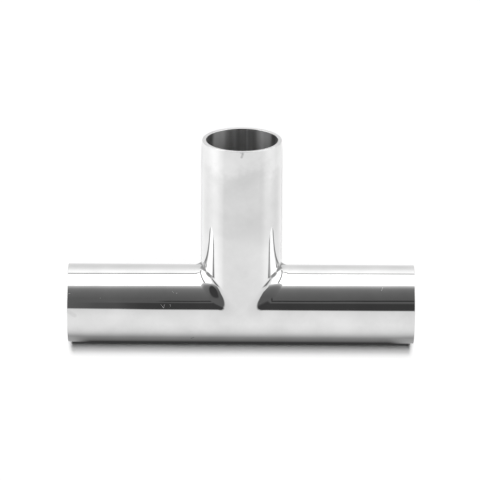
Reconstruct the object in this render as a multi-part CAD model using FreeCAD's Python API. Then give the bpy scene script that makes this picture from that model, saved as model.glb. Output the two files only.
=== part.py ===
"""Equal tee for butt welding to 25 mm sanitary tube, formed from one piece of steel.

The run lies along X and the branch along +Y, flat on a level surface, as the
tee comes to rest by itself. The origin is on that surface, under the middle of
the tee's box. The tee is drawn with its axes crossing at the origin and moved
there at the end. All sizes are in millimetres.
"""
import FreeCAD, Part
import os
from math import asin, cos, pi, radians, sin, sqrt
from FreeCAD import Vector

# Ends, the same as the tube that is welded to them.
tube_od = 25.0
wall = 1.2

# From the crossing of the axes to the square-cut ends.
run_half_length = 55.0
branch_length = 55.0

# Saddle where the branch is drawn out of the run: the outside radius in the two
# crotches, between run and branch, and on the way to the front and the back.
crotch_radius = 2.7
flank_radius = 6.5

# At the front and the back, where run and branch are nearly tangent, the saddle
# starts this far up the branch and ends this far round the run, past its axis.
front_rise = 2.8
front_drop_deg = 9.0

# Reach of the saddle's curve along the run there, as a share of a round's reach.
front_ease = 0.7

# Polished break on the inner and outer edge of each end.
edge_round = 0.15

# Sections that carry the saddle once round the branch, and how closely its rings
# have to meet the run and the branch to be one edge with them.
saddle_sections = 144
seam_tolerance = 0.0001

# Extra length of the bores, so that they cut cleanly through the ends.
overcut = 2.0

# Middle of the tee's box along the branch, from the crossing of the axes.
box_middle = (branch_length - tube_od / 2.0) / 2.0


def handle(start, end, normal, turn, share):
    """Inner control point of a near-circular section that leaves start square to normal."""
    chord = end - start
    flat = chord - normal * chord.dot(normal)
    flat.normalize()
    return start + flat * (share * chord.Length / (3.0 * cos(turn / 4.0) ** 2))


def saddle_rows(radius):
    """Four rings of control points on a skin, from the branch's ring to the run's."""
    front_reach = tube_od / 2.0 + flank_radius
    flare = sqrt(1.0 - (front_rise / front_reach) ** 2)
    drop = asin(front_rise / front_reach) + radians(front_drop_deg)
    rows = [[], [], [], []]
    for section in range(saddle_sections):
        around = 2.0 * pi * section / saddle_sections
        side = sin(around)
        front = cos(around)
        round_radius = crotch_radius + (flank_radius - crotch_radius) * front ** 2
        reach = tube_od / 2.0 + round_radius
        height = reach * sqrt(1.0 - (flare * front) ** 2)
        lean = asin(flare * front) + drop * front ** 3
        branch_normal = Vector(side, 0, front)
        run_normal = Vector(0, cos(lean), sin(lean))
        on_branch = branch_normal * radius + Vector(0, height, 0)
        on_run = run_normal * radius + Vector(reach * side, 0, 0)
        turn = branch_normal.getAngle(run_normal)
        share = 1.0 - (1.0 - front_ease) * front ** 4
        rows[0].append(on_branch)
        rows[1].append(handle(on_branch, on_run, branch_normal, turn, 1.0))
        rows[2].append(handle(on_run, on_branch, run_normal, turn, share))
        rows[3].append(on_run)
    return rows


def ring(points):
    """Closed smooth curve through points."""
    curve = Part.BSplineCurve()
    steps = [float(n) for n in range(len(points) + 1)]
    curve.interpolate(Points=points, PeriodicFlag=True, Parameters=steps)
    return curve


def saddle_face(rows):
    """Surface whose cubic sections run from the branch's ring to the run's."""
    rings = [ring(row) for row in rows]
    surface = Part.BSplineSurface()
    surface.buildFromPolesMultsKnots(
        [r.getPoles() for r in rings],
        [4, 4],
        rings[0].getMultiplicities(),
        [0.0, 1.0],
        rings[0].getKnots(),
        False,
        True,
        3,
        rings[0].Degree,
    )
    return surface.toShape()


def trimmed(side_face, points, normals, keep):
    """The piece of a cylinder's side, cut along points, that scores highest in keep."""
    inner = ring([p - n * wall for p, n in zip(points, normals)]).toShape()
    outer = ring([p + n * wall for p, n in zip(points, normals)]).toShape()
    band = Part.makeRuledSurface(inner, outer)
    pieces = side_face.generalFuse([band])[1][0]
    return max(pieces, key=keep)


def tee_plug(radius, half_length, length):
    """Solid of the given radius along run and branch, blended by the saddle."""
    rows = saddle_rows(radius)
    run_start = Vector(-half_length, 0, 0)
    run = Part.makeCylinder(radius, 2.0 * half_length, run_start, Vector(1, 0, 0))
    run.rotate(Vector(0, 0, 0), Vector(1, 0, 0), 90.0)
    branch = Part.makeCylinder(radius, length, Vector(0, 0, 0), Vector(0, 1, 0))
    run_side = max(run.Faces, key=lambda f: f.Area)
    branch_side = max(branch.Faces, key=lambda f: f.Area)
    branch_normals = [Vector(p.x, 0, p.z).normalize() for p in rows[0]]
    run_normals = [Vector(0, p.y, p.z).normalize() for p in rows[3]]
    skin = [f for f in run.Faces if abs(f.CenterOfMass.x) > half_length - 0.001]
    skin += [f for f in branch.Faces if f.CenterOfMass.y > length - 0.001]
    skin.append(trimmed(run_side, rows[3], run_normals, lambda f: f.Area))
    skin.append(trimmed(branch_side, rows[0], branch_normals, lambda f: f.CenterOfMass.y))
    joined = saddle_face(rows).generalFuse(skin, seam_tolerance)[0]
    return Part.makeSolid(Part.makeShell(joined.Faces))


def is_end_edge(edge):
    """True for the circles where the tee's ends meet its inner and outer skin."""
    if edge.Curve.TypeId != "Part::GeomCircle":
        return False
    centre = edge.Curve.Center
    return max(abs(centre.x) - run_half_length, centre.y - branch_length) > -0.001


outside = tee_plug(tube_od / 2.0, run_half_length, branch_length)
bore = tee_plug(tube_od / 2.0 - wall, run_half_length + overcut, branch_length + overcut)
tee = outside.cut(bore)
tee = tee.makeFillet(edge_round, [e for e in tee.Edges if is_end_edge(e)])
tee = tee.Solids[0]
tee.translate(Vector(0, -box_middle, tube_od / 2.0))

os.makedirs("parts", exist_ok=True)
tee.exportStep("parts/tee_body.step")

print("tee_body: valid", tee.isValid(), "volume", round(tee.Volume, 1), "mm3")
print("box", tee.optimalBoundingBox())
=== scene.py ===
"""Looks of the butt weld tee: its polished skin, the floor, the studio and the camera.

The tee is meshed from the same named values as the solid, in metres, dense enough
to carry clean reflections. It is drawn with the axes of run and branch crossing
at the origin, and then moved to the model's own place.
"""
from math import asin, cos, pi, radians, sin, sqrt, tan

import bpy
import numpy as np
from mathutils import Matrix, Vector


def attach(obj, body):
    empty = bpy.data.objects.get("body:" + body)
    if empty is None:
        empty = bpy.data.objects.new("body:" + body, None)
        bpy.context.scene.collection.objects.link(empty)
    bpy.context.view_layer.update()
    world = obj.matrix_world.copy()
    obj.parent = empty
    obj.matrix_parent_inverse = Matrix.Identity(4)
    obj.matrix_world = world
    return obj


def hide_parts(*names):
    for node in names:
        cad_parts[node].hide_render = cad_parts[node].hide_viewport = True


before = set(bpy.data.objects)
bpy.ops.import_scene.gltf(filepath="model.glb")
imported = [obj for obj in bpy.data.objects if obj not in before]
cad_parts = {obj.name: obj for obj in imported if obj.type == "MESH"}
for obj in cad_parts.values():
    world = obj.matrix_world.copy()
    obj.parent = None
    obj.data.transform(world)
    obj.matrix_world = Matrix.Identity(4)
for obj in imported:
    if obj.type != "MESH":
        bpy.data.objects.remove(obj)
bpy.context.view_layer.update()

# The tee, as in the solid.
OUTER = 0.0125
WALL = 0.0012
BORE = OUTER - WALL
RUN_HALF = 0.055
BRANCH = 0.055
CROTCH_RADIUS = 0.0027
FLANK_RADIUS = 0.0065
FRONT_RISE = 0.0028
FRONT_DROP = radians(9.0)
FRONT_EASE = 0.7
EDGE_ROUND = 0.00015

# From the crossing of the axes to the model's origin.
TO_ORIGIN = np.array([0.0, -(BRANCH - OUTER) / 2.0, OUTER])

# Steps of the mesh: round the branch, across the saddle, along branch and legs,
# round the run's underside, and round the break of the end edges.
AROUND_STEPS = 288
SADDLE_STEPS = 28
BRANCH_STEPS = 8
LEG_STEPS = 8
UNDER_STEPS = 92
ROUND_STEPS = 4

# Half the angle, round the branch, over which the saddle's slope is taken.
SLOPE_STEP = 0.0001

X, Y, Z = np.eye(3)


def unit(vectors):
    """The vectors at length 1."""
    return vectors / np.linalg.norm(vectors, axis=-1, keepdims=True)


def handle(start, end, normal, turn, share):
    """Inner control points of near-circular sections that leave start square to normal."""
    chord = end - start
    flat = unit(chord - normal * np.sum(chord * normal, axis=-1, keepdims=True))
    length = share * np.linalg.norm(chord, axis=-1) / (3.0 * np.cos(turn / 4.0) ** 2)
    return start + flat * length[:, None]


def saddle_controls(around, radius):
    """Control points of the saddle's sections, and the normals at their two ends."""
    side, front = np.sin(around), np.cos(around)
    front_reach = OUTER + FLANK_RADIUS
    flare = sqrt(1.0 - (FRONT_RISE / front_reach) ** 2)
    drop = asin(FRONT_RISE / front_reach) + FRONT_DROP
    reach = OUTER + CROTCH_RADIUS + (FLANK_RADIUS - CROTCH_RADIUS) * front ** 2
    height = reach * np.sqrt(1.0 - (flare * front) ** 2)
    lean = np.arcsin(flare * front) + drop * front ** 3
    branch_normal = side[:, None] * X + front[:, None] * Z
    run_normal = np.cos(lean)[:, None] * Y + np.sin(lean)[:, None] * Z
    on_branch = radius * branch_normal + height[:, None] * Y
    on_run = radius * run_normal + (reach * side)[:, None] * X
    turn = np.arccos(np.clip(np.sum(branch_normal * run_normal, axis=-1), -1.0, 1.0))
    share = 1.0 - (1.0 - FRONT_EASE) * front ** 4
    near_branch = handle(on_branch, on_run, branch_normal, turn, np.ones_like(turn))
    near_run = handle(on_run, on_branch, run_normal, turn, share)
    controls = np.stack([on_branch, near_branch, near_run, on_run])
    return controls, branch_normal, run_normal


def saddle_surface(around, across, radius):
    """Points and outward normals of the saddle, one row per angle round the branch."""
    controls, branch_normal, run_normal = saddle_controls(around, radius)
    ahead = saddle_controls(around + SLOPE_STEP, radius)[0]
    behind = saddle_controls(around - SLOPE_STEP, radius)[0]
    t = across[None, :, None]
    weights = [(1 - t) ** 3, 3 * t * (1 - t) ** 2, 3 * t ** 2 * (1 - t), t ** 3]
    slopes = [(1 - t) ** 2, 2 * t * (1 - t), t ** 2]
    points = sum(w * c[:, None, :] for w, c in zip(weights, controls))
    along = sum(w * (a - b)[:, None, :] for w, a, b in zip(weights, ahead, behind))
    steps = controls[1:] - controls[:-1]
    down = sum(w * s[:, None, :] for w, s in zip(slopes, steps))
    normals = unit(np.cross(along, down))
    outward = branch_normal[:, None, :] * (1 - t) + run_normal[:, None, :] * t
    normals *= np.sign(np.sum(normals * outward, axis=-1, keepdims=True))
    normals[:, 0] = branch_normal
    normals[:, -1] = run_normal
    return points, normals


class Skin:
    """Points, normals and four-sided faces, collected sheet by sheet."""

    def __init__(self):
        self.points, self.normals, self.faces = [], [], []
        self.count = 0

    def add(self, points, normals):
        """Takes a grid of points and returns their numbers in the same grid."""
        shape = points.shape[:-1]
        numbers = self.count + np.arange(int(np.prod(shape))).reshape(shape)
        self.points.append(points.reshape(-1, 3))
        self.normals.append(np.broadcast_to(normals, points.shape).reshape(-1, 3))
        self.count += numbers.size
        return numbers

    def sheet(self, grid, closed=False):
        """Makes the faces between the neighbours in a grid of point numbers."""
        if closed:
            grid = np.concatenate([grid, grid[:1]], axis=0)
        corners = [grid[:-1, :-1], grid[1:, :-1], grid[1:, 1:], grid[:-1, 1:]]
        self.faces.append(np.stack([c.ravel() for c in corners], axis=1))


def run_points(angles, stations, radius):
    """Points on the run at each angle past +Y towards +Z, and their normals."""
    normals = np.cos(angles)[:, None] * Y + np.sin(angles)[:, None] * Z
    points = radius * normals[:, None, :] + stations[..., None] * X
    return points, normals[:, None, :]


def add_tube_skin(skin, radius, facing):
    """The saddle, the branch and the run at one radius; returns the rings at the ends."""
    around = 2.0 * pi * np.arange(AROUND_STEPS) / AROUND_STEPS
    across = np.linspace(0.0, 1.0, SADDLE_STEPS + 1)
    points, normals = saddle_surface(around, across, radius)
    saddle = skin.add(points, facing * normals)
    skin.sheet(saddle, closed=True)

    climb = np.linspace(0.0, 1.0, BRANCH_STEPS + 1)[None, 1:, None]
    top = BRANCH - EDGE_ROUND
    foot = points[:, :1, :]
    leave = foot + (top - foot[..., 1:2]) * climb * Y
    branch = skin.add(leave, facing * normals[:, :1, :])
    branch = np.concatenate([saddle[:, :1], branch], axis=1)
    skin.sheet(branch, closed=True)

    half = AROUND_STEPS // 2
    end = RUN_HALF - EDGE_ROUND
    out = np.linspace(0.0, 1.0, LEG_STEPS + 1)[None, 1:]
    legs = []
    for first, reach in ((0, end), (half, -end)):
        rows = np.arange(first, first + half + 1) % AROUND_STEPS
        start = points[rows, -1, 0][:, None]
        stations = start + (reach - start) * out
        angles = np.arctan2(normals[rows, -1, 2], normals[rows, -1, 1])
        leg_points, leg_normals = run_points(angles, stations, radius)
        leg = skin.add(leg_points, facing * leg_normals)
        legs.append(np.concatenate([saddle[rows, -1:], leg], axis=1))
        skin.sheet(legs[-1])
    right, left = legs

    lowest = np.arctan2(normals[0, -1, 2], normals[0, -1, 1])
    angles = np.linspace(lowest, 2.0 * pi - lowest, UNDER_STEPS + 1)[1:-1]
    stations = end * np.linspace(-1.0, 1.0, 2 * LEG_STEPS + 1)[None, :]
    under_points, under_normals = run_points(angles, stations, radius)
    under = skin.add(under_points, facing * under_normals)
    front_line = np.concatenate([left[-1, ::-1], right[0, 1:]])
    back_line = np.concatenate([left[0, ::-1], right[-1, 1:]])
    skin.sheet(np.concatenate([front_line[None], under, back_line[None]], axis=0))

    return {
        "branch": branch[:, -1],
        "right": np.concatenate([right[:, -1], under[::-1, -1]]),
        "left": np.concatenate([left[:, -1], under[:, 0]]),
    }


def add_rim(skin, outer_ring, inner_ring, axis, reach):
    """The square-cut end between two rings, with its edges broken by a small round."""
    points = np.concatenate(skin.points)
    spokes = points[outer_ring] - axis * np.sum(points[outer_ring] * axis, axis=-1)[:, None]
    spokes = unit(spokes)[:, None, :]
    turns = np.linspace(0.0, pi / 2.0, ROUND_STEPS + 1)[1:]
    rows = []
    for radius, outward, order in ((OUTER, 1.0, turns), (BORE, -1.0, turns[::-1])):
        level = reach - EDGE_ROUND * (1.0 - np.sin(order))
        spread = radius - outward * EDGE_ROUND * (1.0 - np.cos(order))
        ring_points = spokes * spread[None, :, None] + level[None, :, None] * axis
        normals = outward * spokes * np.cos(order)[None, :, None]
        normals = normals + np.sin(order)[None, :, None] * axis
        rows.append(skin.add(ring_points, normals))
    grid = [outer_ring[:, None], rows[0], rows[1], inner_ring[:, None]]
    skin.sheet(np.concatenate(grid, axis=1), closed=True)


def facing_out(points, normals, faces):
    """The faces, each turned to the side that its points' normals show."""
    corner = points[faces]
    flat = np.cross(corner[:, 2] - corner[:, 0], corner[:, 3] - corner[:, 1])
    wrong = np.sum(flat * normals[faces].sum(axis=1), axis=-1) < 0.0
    return np.where(wrong[:, None], faces[:, ::-1], faces)


def build_tee():
    """The tee as one closed mesh with exact normals; its bore has material slot 1."""
    skin = Skin()
    outer = add_tube_skin(skin, OUTER, 1.0)
    first_bore_point = skin.count
    inner = add_tube_skin(skin, BORE, -1.0)
    after_bore_point = skin.count
    add_rim(skin, outer["branch"], inner["branch"], Y, BRANCH)
    add_rim(skin, outer["right"], inner["right"], X, RUN_HALF)
    add_rim(skin, outer["left"], inner["left"], -X, RUN_HALF)

    points = np.concatenate(skin.points)
    normals = unit(np.concatenate(skin.normals))
    faces = facing_out(points, normals, np.concatenate(skin.faces))
    in_bore = ((faces >= first_bore_point) & (faces < after_bore_point)).all(axis=1)

    mesh = bpy.data.meshes.new("tee_skin")
    mesh.from_pydata((points + TO_ORIGIN).tolist(), [], faces.tolist())
    mesh.polygons.foreach_set("use_smooth", np.ones(len(faces), dtype=bool))
    mesh.polygons.foreach_set("material_index", in_bore.astype(np.int32))
    mesh.normals_split_custom_set_from_vertices(normals.tolist())
    mesh.update()
    tee = bpy.data.objects.new("tee_skin", mesh)
    bpy.context.scene.collection.objects.link(tee)
    return tee


MILLIMETRE = 0.001

# Weight of the finer layers in the noises of the steel.
NOISE_ROUGHNESS = 0.55

# A stroke is full up to the first of these shares of its width, measured from its
# line, and gone at the second.
STROKE_EDGE = (0.2, 0.6)


class Nodes:
    """Short calls for making and joining the nodes of one tree."""

    def __init__(self, owner):
        owner.use_nodes = True
        self.tree = owner.node_tree
        self.tree.nodes.clear()

    def make(self, kind, inputs=None, **settings):
        """A node with its settings, its inputs set to values or joined to sockets."""
        node = self.tree.nodes.new(kind)
        for name, value in settings.items():
            setattr(node, name, value)
        for name, value in (inputs or {}).items():
            if isinstance(value, bpy.types.NodeSocket):
                self.tree.links.new(value, node.inputs[name])
            else:
                node.inputs[name].default_value = value
        return node

    def math(self, operation, *values):
        """The output of a Math node."""
        node = self.make("ShaderNodeMath", dict(enumerate(values)), operation=operation)
        return node.outputs[0]

    def ramp(self, factor, stops):
        """A ramp of greys; each stop is a place and a shade."""
        node = self.make("ShaderNodeValToRGB", {"Fac": factor})
        elements = node.color_ramp.elements
        while len(elements) < len(stops):
            elements.new(0.5)
        for element, (place, shade) in zip(elements, stops):
            element.position = place
            element.color = (shade, shade, shade, 1.0)
        return node.outputs["Color"]

    def product(self, first, *others):
        """The values multiplied together."""
        for other in others:
            first = self.math("MULTIPLY", first, other)
        return first

    def blend(self, first, second, share):
        """Goes from the first value to the second as share goes from 0 to 1."""
        node = self.make("ShaderNodeMix", {0: share, 2: first, 3: second}, data_type="FLOAT")
        return node.outputs[0]

    def spread(self, value, low, high, to_low, to_high, smooth=False):
        """Value taken from one range to another."""
        kind = "SMOOTHSTEP" if smooth else "LINEAR"
        inputs = {"Value": value, "From Min": low, "From Max": high}
        inputs.update({"To Min": to_low, "To Max": to_high})
        return self.make("ShaderNodeMapRange", inputs, interpolation_type=kind).outputs[0]

    def over(self, value, limits):
        """1 where value is over both limits, 0 where it is under both."""
        return self.spread(value, limits[0], limits[1], 0.0, 1.0, smooth=True)

    def under(self, value, limits):
        """1 where value is under both limits, 0 where it is over both."""
        return self.spread(value, limits[0], limits[1], 1.0, 0.0, smooth=True)

    def near(self, value, middle, limits):
        """1 where value lies close to the middle, 0 beyond the outer limit."""
        off = self.math("ABSOLUTE", self.math("SUBTRACT", value, middle))
        return self.under(off, limits)

    def dimmed(self, shade, mask, loss):
        """The shade, less this share of it where mask is 1."""
        return self.product(shade, self.spread(mask, 0.0, 1.0, 1.0, 1.0 - loss))

    def length(self, first, second):
        """Root of the sum of the two squares."""
        squares = self.math("ADD", self.product(first, first), self.product(second, second))
        return self.math("SQRT", squares)

    def steps_from(self, value, middle, size):
        """How far value lies from the middle, counted in steps of this size."""
        return self.math("DIVIDE", self.math("SUBTRACT", value, middle), size)

    def noise(self, place, scale, detail, stretch=(1.0, 1.0, 1.0)):
        """Noise between 0 and 1; stretch is how much finer it is along each axis."""
        scaled = self.make("ShaderNodeMapping", {"Vector": place, "Scale": stretch}).outputs[0]
        inputs = {"Vector": scaled, "Scale": scale, "Detail": detail}
        inputs["Roughness"] = NOISE_ROUGHNESS
        return self.make("ShaderNodeTexNoise", inputs).outputs["Fac"]

    def stroke(self, place, start, end, width):
        """1 on a line between two points, 0 beside it; all sizes are in millimetres."""
        start, end = Vector(start) * MILLIMETRE, Vector(end) * MILLIMETRE
        along = end - start
        offset = self.make("ShaderNodeVectorMath", {0: place, 1: start}, operation="SUBTRACT")
        offset = offset.outputs["Vector"]
        share = self.make("ShaderNodeVectorMath", {0: offset, 1: along}, operation="DOT_PRODUCT")
        share = self.spread(share.outputs["Value"], 0.0, along.length_squared, 0.0, 1.0)
        foot = self.make("ShaderNodeVectorMath", {0: along, "Scale": share}, operation="SCALE")
        foot = foot.outputs["Vector"]
        gap = self.make("ShaderNodeVectorMath", {0: offset, 1: foot}, operation="DISTANCE")
        limits = [share * width * MILLIMETRE for share in STROKE_EDGE]
        return self.under(gap.outputs["Value"], limits)

    def bumped(self, height, depth, normal=None):
        """The normal over ripples of the given depth."""
        inputs = {"Strength": 1.0, "Distance": depth, "Height": height}
        if normal is not None:
            inputs["Normal"] = normal
        return self.make("ShaderNodeBump", inputs).outputs[0]

    def metal(self, shade, roughness, normal):
        """Ends the tree with bare metal."""
        inputs = {"Base Color": shade, "Metallic": 1.0, "Roughness": roughness, "Normal": normal}
        shader = self.make("ShaderNodeBsdfPrincipled", inputs)
        self.make("ShaderNodeOutputMaterial", {"Surface": shader.outputs[0]})


# Polished skin: how light and how rough it is, least and most, and the depth of the
# slow waves and the hair-fine lines that polishing left, in metres.
SKIN_SHADES = (0.615, 0.690)
SKIN_ROUGHNESS = (0.025, 0.055)
WAVE_DEPTH = 0.00003
HAIR_DEPTH = 0.0000002

# Scale and detail of the noises of the skin, the hairs' stretch, and the part of a
# noise's range that is used.
CLOUDS = (110.0, 4.0)
SMEARS = (320.0, 4.0)
WAVES = (60.0, 1.0)
HAIRS = (260.0, 3.0)
HAIR_STRETCH = (1.0, 10.0, 10.0)
NOISE_RANGE = (0.3, 0.7)
SMEARED_RANGE = (0.12, 0.42)

# Darker zone of the branch: where it begins and ends along the branch and from what
# height on, how far the clouds push its edges, and the share of light that it loses.
DARKER_ZONE_FROM = (0.001, 0.007)
DARKER_ZONE_TO = (0.022, 0.031)
DARKER_ZONE_TOP = (0.014, 0.020)
DARKER_ZONE_RAGGED = 0.02
DARKER_ZONE_LOSS = 0.10

# Light scratches, each between two points in millimetres from the origin, and their
# width, in millimetres too, and roughness.
SCRATCHES = [
    ((-25.4, -17.3, 24.3), (-24.4, -18.4, 24.7)),
    ((-24.2, -17.4, 24.4), (-24.4, -18.0, 24.6)),
    ((-22.4, -17.3, 24.4), (-22.3, -17.9, 24.6)),
    ((-44.9, -15.7, 23.7), (-44.4, -15.5, 23.6)),
    ((-54.6, -14.4, 22.9), (-53.9, -14.4, 22.9)),
    ((-21.7, -13.8, 22.5), (-21.3, -14.1, 22.7)),
    ((-20.6, -14.1, 22.8), (-20.2, -14.0, 22.7)),
    ((44.8, -12.3, 21.2), (44.4, -13.1, 21.9)),
]
SCRATCH_WIDTH = 0.20
SCRATCH_ROUGHNESS = 0.42

# Darker marks: two points and a width in millimetres, and the share of light lost.
# The first two are the nick under the branch's rim.
DARK_MARKS = [
    ((0.3, 33.2, 25.0), (-0.1, 32.0, 25.0), 0.9, 0.28),
    ((0.2, 33.1, 25.0), (-0.4, 33.4, 25.0), 0.5, 0.20),
    ((-54.5, -19.7, 24.9), (-52.6, -21.0, 25.0), 1.6, 0.08),
    ((-15.8, -29.8, 21.6), (-15.0, -29.3, 22.1), 0.5, 0.35),
]

# Duller bore: scale and detail of its lengthwise stripes, their stretch in the branch
# and in the legs, its shades and roughness, least and most, and the shares of stripes
# and painted bands in its lightness. The branch's bore has two bands of painted light,
# with a band of painted shade beyond each, and thin lines of painted highlight of
# different strength, all at distances from its middle; the painted light also makes it
# rougher there. The legs' bores begin further out.
STRIPES = (700.0, 3.0)
BRANCH_STRETCH = (1.0, 0.03, 1.0)
LEG_STRETCH = (0.03, 1.0, 1.0)
BORE_SHADES = (0.56, 0.84)
BORE_ROUGHNESS = (0.30, 0.54)
STRIPE_DEPTH = 0.000001
STRIPE_LIGHT = 0.4
PAINTED_BAND_LIGHT = 0.6
PAINTED_LIGHT_BAND_PLACE = 0.0070
PAINTED_LIGHT_BAND_WIDTH = (0.0012, 0.0034)
PAINTED_SHADE_BAND_PLACE = 0.0102
PAINTED_SHADE_BAND_WIDTH = (0.0006, 0.0016)
PAINTED_SHADE_BAND_LOSS = 0.38
PAINTED_HIGHLIGHT_LINES = [(-0.0023, 0.3), (0.0016, 0.9)]
PAINTED_HIGHLIGHT_LINE_WIDTH = (0.0002, 0.0005)
LEG_FROM = (0.0105, 0.0135)


def skin_material():
    """Polished steel: cloudy, darker over a zone of the branch, with faint waves, fine hairs and
    a few marks.
    """
    material = bpy.data.materials.new("polished_steel")
    nodes = Nodes(material)
    place = nodes.make("ShaderNodeTexCoord").outputs["Object"]
    parts = nodes.make("ShaderNodeSeparateXYZ", {"Vector": place}).outputs
    clouds = nodes.noise(place, *CLOUDS)
    smears = nodes.noise(place, *SMEARS)

    # A zone of the branch, with ragged edges, is made darker.
    centred = nodes.math("SUBTRACT", clouds, 0.5)
    along = nodes.math("MULTIPLY_ADD", centred, DARKER_ZONE_RAGGED, parts["Y"])
    darker_zone = nodes.product(
        nodes.over(along, DARKER_ZONE_FROM),
        nodes.under(along, DARKER_ZONE_TO),
        nodes.over(parts["Z"], DARKER_ZONE_TOP),
    )
    shade = nodes.dimmed(nodes.spread(clouds, *NOISE_RANGE, *SKIN_SHADES), darker_zone, DARKER_ZONE_LOSS)
    for start, end, width, loss in DARK_MARKS:
        shade = nodes.dimmed(shade, nodes.stroke(place, start, end, width), loss)

    smeared = nodes.product(smears, clouds)
    roughness = nodes.spread(smeared, *SMEARED_RANGE, *SKIN_ROUGHNESS)
    for start, end in SCRATCHES:
        scratch = nodes.stroke(place, start, end, SCRATCH_WIDTH)
        roughness = nodes.blend(roughness, SCRATCH_ROUGHNESS, scratch)

    waved = nodes.bumped(nodes.noise(place, *WAVES), WAVE_DEPTH)
    hairs = nodes.noise(place, *HAIRS, stretch=HAIR_STRETCH)
    nodes.metal(shade, roughness, nodes.bumped(hairs, HAIR_DEPTH, waved))
    return material


def bore_material():
    """Duller steel with stripes along the branch's bore and along the legs' bores, and painted
    light and shade in bands and lines round the branch's bore.
    """
    material = bpy.data.materials.new("polished_steel_bore")
    nodes = Nodes(material)
    place = nodes.make("ShaderNodeTexCoord").outputs["Object"]
    parts = nodes.make("ShaderNodeSeparateXYZ", {"Vector": place}).outputs
    off_middle = nodes.math("ABSOLUTE", parts["X"])
    in_leg = nodes.over(off_middle, LEG_FROM)
    branch_stripes = nodes.noise(place, *STRIPES, stretch=BRANCH_STRETCH)
    leg_stripes = nodes.noise(place, *STRIPES, stretch=LEG_STRETCH)
    stripes = nodes.blend(branch_stripes, leg_stripes, in_leg)

    # Painted light: two lighter bands and thin lighter lines round the branch's bore.
    painted_bands = nodes.near(off_middle, PAINTED_LIGHT_BAND_PLACE, PAINTED_LIGHT_BAND_WIDTH)
    for across, strength in PAINTED_HIGHLIGHT_LINES:
        line = nodes.near(parts["X"], across, PAINTED_HIGHLIGHT_LINE_WIDTH)
        painted_bands = nodes.math("MULTIPLY_ADD", line, strength, painted_bands)
    striped = nodes.spread(stripes, *NOISE_RANGE, 0.0, STRIPE_LIGHT)
    # Lightness: the stripes plus the painted bands and lines; it also sets the roughness.
    light = nodes.math("MULTIPLY_ADD", painted_bands, PAINTED_BAND_LIGHT, striped)
    # Painted shade: a darker band beyond each lighter band.
    painted_shade_band = nodes.near(off_middle, PAINTED_SHADE_BAND_PLACE, PAINTED_SHADE_BAND_WIDTH)
    shade = nodes.dimmed(nodes.spread(light, 0.0, 1.0, *BORE_SHADES), painted_shade_band, PAINTED_SHADE_BAND_LOSS)
    roughness = nodes.spread(light, 0.0, 1.0, *BORE_ROUGHNESS)
    nodes.metal(shade, roughness, nodes.bumped(stripes, STRIPE_DEPTH))
    return material


# Plain floor: half its width in metres, its grain, and its whites at two places of it.
FLOOR_HALF = 4.0
FLOOR_GRAIN = {"Scale": 40.0, "Detail": 3.0}
FLOOR_WHITES = [(0.2, 0.80), (0.8, 0.82)]


def floor_material():
    """White floor that keeps the tee's shadow."""
    material = bpy.data.materials.new("floor_white")
    nodes = Nodes(material)
    place = nodes.make("ShaderNodeTexCoord").outputs["Object"]
    grain = nodes.make("ShaderNodeTexNoise", {"Vector": place, **FLOOR_GRAIN}).outputs["Fac"]
    white = nodes.ramp(grain, FLOOR_WHITES)
    matt = nodes.make("ShaderNodeBsdfDiffuse", {"Color": white}).outputs[0]
    nodes.make("ShaderNodeOutputMaterial", {"Surface": matt})
    return material


def build_floor():
    """Plain level floor under the tee."""
    sides = [(-1, -1), (1, -1), (1, 1), (-1, 1)]
    corners = [(x * FLOOR_HALF, y * FLOOR_HALF, 0) for x, y in sides]
    mesh = bpy.data.meshes.new("floor")
    mesh.from_pydata(corners, [], [(0, 1, 2, 3)])
    floor = bpy.data.objects.new("floor", mesh)
    bpy.context.scene.collection.objects.link(floor)
    floor.visible_glossy = False
    mesh.materials.append(floor_material())


# Light goes this many times from wall to wall in the bore.
MIRROR_BOUNCES = 16

# What the room gives to matt surfaces, besides the lamps.
ROOM_FILL = 0.06

# The studio's brightness by pitch in degrees, where 0 is up from the floor, 90 is
# towards the branch's end, 180 down and -90 the other way: first in the plane across
# the run, then to its sides.
STUDIO_MIDDLE = [
    (-180, 0.94), (-161, 0.94), (-158, 0.03), (-151, 0.03), (-141, 0.05), (-131, 0.12),
    (-113, 0.25), (-100, 0.35), (-89, 0.60), (-79, 0.84), (-70, 0.99), (-58, 1.09),
    (-44, 1.14), (-20, 1.11), (-6, 1.05), (6, 0.96), (30, 1.50), (75, 2.60), (114, 2.60),
    (120, 1.54), (127, 1.52), (131, 1.46), (137, 1.32), (142, 1.17), (149, 1.07),
    (156, 0.98), (170, 0.93), (180, 0.94),
]
STUDIO_SIDES = [
    (-180, 0.40), (-170, 0.55), (-164, 1.00), (-157, 1.20), (-143, 1.22), (-130, 1.28),
    (-110, 1.33), (-90, 1.37), (-67, 1.36), (-52, 1.33), (-42, 1.25), (-34, 1.18),
    (-27, 1.12), (-18, 1.06), (-4, 1.00), (10, 1.00), (28, 1.40), (42, 2.60),
    (125, 2.40), (137, 1.95), (150, 0.85), (158, 0.50), (172, 0.40), (180, 0.40),
]
STUDIO_PEAK = 2.6

# How far to the side, in degrees, the sides begin and where they take over, also by
# pitch, and the most that either can be.
SIDES_BEGIN = [
    (-180, 3), (-150, 3), (-135, 20), (-110, 38), (-60, 46), (0, 46), (8, 38), (180, 38),
]
SIDES_FULL = [
    (-180, 9), (-150, 9), (-135, 40), (-110, 60), (-60, 56), (0, 56), (12, 46), (180, 46),
]
SIDES_MOST = 90.0

# At the far left the sides are brighter by this share, at the far right darker.
LEFT_EXTRA = 0.065

# Towards the branch's end the studio is turned askew: what it shows lies at a larger
# pitch to the right and a smaller one to the left, by this much per degree to the
# side, up to this side. That sets in between these two pitches.
ASKEW = 1.1
ASKEW_SIDE = 2.5
ASKEW_PITCH = (10.0, 40.0)

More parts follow.
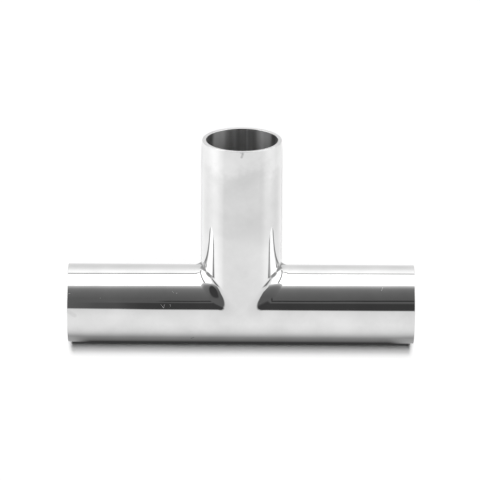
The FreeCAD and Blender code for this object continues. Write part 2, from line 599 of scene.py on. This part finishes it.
# Two lighter patches in the studio's dark foot, this far to each side, between these
# pitches.
FOOT_END_SIDE = 2.75
FOOT_END_WIDTH = (0.10, 0.52)
FOOT_END_FROM = (-166.0, -158.0)
FOOT_END_TO = (-106.0, -90.0)
FOOT_END_SHADE = 0.50

# The dark opening that the camera looks through is an oval round this pitch and side.
# Its reach in pitch grows beside the middle plane, and it is less wide to the left
# than to the right. Its shade goes from the oval's middle, 0, to its rim, 1.
OPENING_PITCH = 2.0
OPENING_REACH = (73.3, 77.0)
OPENING_REACH_SIDE = (2.7, 30.0)
OPENING_RIM = (0.97, 1.02)
OPENING_MIDDLE = -5.0
OPENING_SIDES = (50.5, 57.5)
OPENING_SIDES_MEET = (-10.0, 10.0)
OPENING_SHADES = [
    (0.0, 0.140), (0.45, 0.145), (0.67, 0.190), (0.79, 0.240), (0.85, 0.310),
    (0.89, 0.430), (0.93, 0.620), (0.97, 0.850), (1.0, 1.000),
]

# The opening is cut off along a sill, at these pitches for these sides.
SILL = [
    (-57, -2.1), (-46, -1.0), (-31, 2.4), (-21, 1.6), (-12, 2.2), (-2.6, 2.6), (-2, 2.2),
    (-1.5, 1.1), (0, 1.1), (1, 0.5), (1.8, 0.6), (12, 2.0), (20, 4.2), (33, 6.9),
    (40, 14.6), (43, 20.0),
]
SILL_SIDE = 60.0
SILL_LEVELS = (-5.0, 20.0)
SILL_SOFTNESS = (-2.0, 2.0)

# The opening's darkest part, up to this pitch and between these sides, and the thin
# dark line over it, whose pitch grows by its slant for each degree to the right.
LOW_SHADE = 0.060
LOW_TOP = (19.0, 23.0)
LOW_LEFT = (-2.7, -1.2)
LOW_RIGHT = (3.0, 8.0)
LINE_PITCH = 26.5
LINE_SLANT = 0.5
LINE_WIDTH = (1.0, 2.2)
LINE_LEFT = (-1.4, -1.0)
LINE_SHADE = 0.045

# A dark thing that stands in the opening, left of the middle: an oval with this size
# in pitch and side, cut off at its foot.
THING_PITCH = 28.0
THING_SIDE = -26.5
THING_SIZE = (17.0, 15.5)
THING_RIM = (0.85, 1.2)
THING_FOOT = (12.0, 17.0)
THING_SHADE = 0.06

# Grey seams of the bright wall beyond the branch's end: two that run beside the
# middle, at this side at SEAM_PITCH and slanting from there, and one across it.
SEAM_PITCH = 90.0
SEAM_SIDE = 37.0
SEAM_SLANT = 0.25
SEAM_WIDTH = (3.5, 6.5)
SEAM_FROM = (60.0, 66.0)
SEAM_TO = (136.0, 142.0)
SEAM_SHADE = 0.45
CROSS_PITCH = 118.3
CROSS_WIDTH = (1.6, 2.8)
CROSS_SIDE = (34.0, 38.0)

# Dark corner from the opening's sill to each end of the studio, and its end walls,
# each step of them with the side where it begins and its shade.
CORNER_PITCH = -8.0
CORNER_WIDTH = (9.0, 17.0)
CORNER_SIDE = (50.0, 56.0)
CORNER_SHADE = 0.25
END_WALLS = [((73.0, 75.0), 0.80), ((78.0, 82.0), 0.40)]


def by_pitch(nodes, place, stops, peak):
    """A value that follows stops of pitch and value."""
    scaled = [((pitch + 180.0) / 360.0, value / peak) for pitch, value in stops]
    return nodes.math("MULTIPLY", nodes.ramp(place, scaled), peak)


def studio_brightness(nodes):
    """Brightness of the studio in the direction that a mirror ray leaves in."""
    direction = nodes.make("ShaderNodeTexCoord").outputs["Generated"]
    parts = nodes.make("ShaderNodeSeparateXYZ", {"Vector": direction}).outputs
    true_pitch = nodes.math("DEGREES", nodes.math("ARCTAN2", parts["Y"], parts["Z"]))
    signed = nodes.math("DEGREES", nodes.math("ARCSINE", parts["X"]))
    side = nodes.math("ABSOLUTE", signed)
    most = ASKEW * ASKEW_SIDE
    askew = nodes.spread(signed, -ASKEW_SIDE, ASKEW_SIDE, -most, most)
    askew = nodes.product(askew, nodes.over(true_pitch, ASKEW_PITCH))
    pitch = nodes.math("SUBTRACT", true_pitch, askew)
    place = nodes.spread(pitch, -180.0, 180.0, 0.0, 1.0)

    middle = by_pitch(nodes, place, STUDIO_MIDDLE, STUDIO_PEAK)
    foot_end = nodes.product(
        nodes.near(side, FOOT_END_SIDE, FOOT_END_WIDTH),
        nodes.over(pitch, FOOT_END_FROM),
        nodes.under(pitch, FOOT_END_TO),
    )
    middle = nodes.blend(middle, FOOT_END_SHADE, foot_end)
    sides = by_pitch(nodes, place, STUDIO_SIDES, STUDIO_PEAK)
    left_or_right = nodes.math("MULTIPLY_ADD", parts["X"], -LEFT_EXTRA, 1.0)
    sides = nodes.product(sides, left_or_right)
    begin = by_pitch(nodes, place, SIDES_BEGIN, SIDES_MOST)
    full = by_pitch(nodes, place, SIDES_FULL, SIDES_MOST)
    walls = nodes.blend(middle, sides, nodes.spread(side, begin, full, 0.0, 1.0, smooth=True))

    slant = nodes.math("MULTIPLY_ADD", pitch, SEAM_SLANT, SEAM_SIDE - SEAM_SLANT * SEAM_PITCH)
    seam = nodes.product(
        nodes.near(side, slant, SEAM_WIDTH),
        nodes.over(pitch, SEAM_FROM),
        nodes.under(pitch, SEAM_TO),
    )
    across = nodes.near(pitch, CROSS_PITCH, CROSS_WIDTH)
    across = nodes.product(across, nodes.under(side, CROSS_SIDE))
    walls = nodes.blend(walls, SEAM_SHADE, nodes.math("MAXIMUM", seam, across))

    corner = nodes.near(pitch, CORNER_PITCH, CORNER_WIDTH)
    corner = nodes.product(corner, nodes.over(side, CORNER_SIDE))
    walls = nodes.blend(walls, CORNER_SHADE, corner)
    for reach, shade in END_WALLS:
        walls = nodes.blend(walls, shade, nodes.over(side, reach))
    opening, inside = studio_opening(nodes, pitch, true_pitch, side, signed)
    return nodes.blend(walls, opening, inside)


def studio_opening(nodes, pitch, true_pitch, side, signed):
    """The opening's shade, and where it is seen; signed is the side, with its sign."""
    reach = nodes.spread(nodes.over(side, OPENING_REACH_SIDE), 0.0, 1.0, *OPENING_REACH)
    width = nodes.spread(signed, *OPENING_SIDES_MEET, *OPENING_SIDES)
    up = nodes.steps_from(pitch, OPENING_PITCH, reach)
    out = nodes.steps_from(signed, OPENING_MIDDLE, width)
    oval = nodes.length(up, out)

    low, high = SILL_LEVELS
    stops = [((a / SILL_SIDE + 1.0) / 2.0, (level - low) / (high - low)) for a, level in SILL]
    sill = nodes.ramp(nodes.spread(signed, -SILL_SIDE, SILL_SIDE, 0.0, 1.0), stops)
    sill = nodes.spread(sill, 0.0, 1.0, low, high)
    over_sill = nodes.over(nodes.math("SUBTRACT", true_pitch, sill), SILL_SOFTNESS)
    inside = nodes.product(nodes.under(oval, OPENING_RIM), over_sill)

    left_part = nodes.under(signed, LOW_RIGHT)
    darkest = nodes.product(
        nodes.under(pitch, LOW_TOP), left_part, nodes.over(signed, LOW_LEFT)
    )
    shade = nodes.blend(nodes.ramp(oval, OPENING_SHADES), LOW_SHADE, darkest)
    line = nodes.math("MULTIPLY_ADD", signed, LINE_SLANT, LINE_PITCH)
    line = nodes.near(pitch, line, LINE_WIDTH)
    line = nodes.product(line, left_part, nodes.over(signed, LINE_LEFT))
    shade = nodes.blend(shade, LINE_SHADE, line)

    up = nodes.steps_from(pitch, THING_PITCH, THING_SIZE[0])
    out = nodes.steps_from(signed, THING_SIDE, THING_SIZE[1])
    thing = nodes.under(nodes.length(up, out), THING_RIM)
    thing = nodes.product(thing, nodes.over(pitch, THING_FOOT))
    return nodes.blend(shade, THING_SHADE, thing), inside


def build_world():
    """White for the camera, a soft fill for matt things, the studio for mirrors.

    A ray that has left a matt surface doesn't see the studio, so that it casts no
    light by way of the metal.
    """
    world = bpy.data.worlds.new("studio")
    bpy.context.scene.world = world
    nodes = Nodes(world)
    rays = nodes.make("ShaderNodeLightPath").outputs
    plain = (1.0, 1.0, 1.0, 1.0)
    fill = nodes.make("ShaderNodeBackground", {"Color": plain, "Strength": ROOM_FILL})
    white = nodes.make("ShaderNodeBackground", {"Color": plain, "Strength": 1.0})
    brightness = studio_brightness(nodes)
    studio = nodes.make("ShaderNodeBackground", {"Color": plain, "Strength": brightness})
    mirrored = nodes.math("MAXIMUM", rays["Is Glossy Ray"], rays["Is Transmission Ray"])
    before_matt = nodes.math("LESS_THAN", rays["Diffuse Depth"], 0.5)
    mirrored = nodes.product(mirrored, before_matt)
    inner = nodes.make(
        "ShaderNodeMixShader", {0: mirrored, 1: fill.outputs[0], 2: studio.outputs[0]}
    )
    outer = nodes.make(
        "ShaderNodeMixShader",
        {0: rays["Is Camera Ray"], 1: inner.outputs[0], 2: white.outputs[0]},
    )
    nodes.make("ShaderNodeOutputWorld", {"Surface": outer.outputs[0]})


# The lamps stand beyond the branch's end, in the plane across the run, at these
# angles above the floor, in degrees. Each is this many degrees wide, and together
# they have this strength and make one soft light.
LAMP_HEIGHTS = (58.0, 61.2, 64.9)
LAMP_WIDTH = 5.2
LAMPS_TOTAL = 4.35


def build_lamps():
    """Soft light on matt surfaces; the metal shows the studio instead."""
    for number, height in enumerate(LAMP_HEIGHTS):
        light = bpy.data.lights.new("lamp_%d" % number, "SUN")
        light.energy = LAMPS_TOTAL / len(LAMP_HEIGHTS)
        light.angle = radians(LAMP_WIDTH)
        lamp = bpy.data.objects.new(light.name, light)
        to_lamp = Vector((0.0, cos(radians(height)), sin(radians(height))))
        lamp.rotation_euler = to_lamp.to_track_quat("Z", "Y").to_euler()
        lamp.visible_glossy = False
        bpy.context.scene.collection.objects.link(lamp)


# The photograph's camera, solved with the tee's sizes: distance from the crossing of
# the axes, how far it leans from straight above towards the branch's end, how it is
# aimed and turned, its lens, and how far it sees, in metres.
CAMERA_DISTANCE = 1.2088
CAMERA_LEAN = radians(20.581)
CAMERA_YAW = radians(-0.008)
CAMERA_PAN = radians(-0.022)
CAMERA_TILT = radians(0.959)
CAMERA_ROLL = radians(0.338)
FOCAL_PIXELS = 3786.3
FRAME_PIXELS = 480.0
SENSOR = 36.0
CLIP_END = 20.0


def build_camera():
    """Camera at the photograph's place, in the frame of the tee as it lies."""
    away = np.array([
        sin(CAMERA_YAW) * cos(CAMERA_LEAN),
        sin(CAMERA_LEAN),
        cos(CAMERA_YAW) * cos(CAMERA_LEAN),
    ])
    forward = -away
    right = unit(np.cross(forward, Y))
    up = np.cross(right, forward)
    forward = unit(forward + tan(CAMERA_PAN) * right + tan(CAMERA_TILT) * up)
    right = unit(np.cross(forward, Y))
    up = np.cross(right, forward)
    turned_right = cos(CAMERA_ROLL) * right + sin(CAMERA_ROLL) * up
    turned_up = cos(CAMERA_ROLL) * up - sin(CAMERA_ROLL) * right
    data = bpy.data.cameras.new("camera")
    data.sensor_width = SENSOR
    data.lens = FOCAL_PIXELS * SENSOR / FRAME_PIXELS
    data.clip_end = CLIP_END
    camera = bpy.data.objects.new("camera", data)
    axes = np.stack([turned_right, turned_up, -forward], axis=1)
    matrix = Matrix(axes.tolist()).to_4x4()
    matrix.translation = Vector((away * CAMERA_DISTANCE + TO_ORIGIN).tolist())
    camera.matrix_world = matrix
    bpy.context.scene.collection.objects.link(camera)
    bpy.context.scene.camera = camera


tee = build_tee()
tee.data.materials.append(skin_material())
tee.data.materials.append(bore_material())
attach(tee, "root")
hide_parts("tee_body")

build_floor()
build_world()
build_lamps()
build_camera()
bpy.context.scene.view_settings.view_transform = "Standard"
bpy.context.scene.cycles.glossy_bounces = MIRROR_BOUNCES
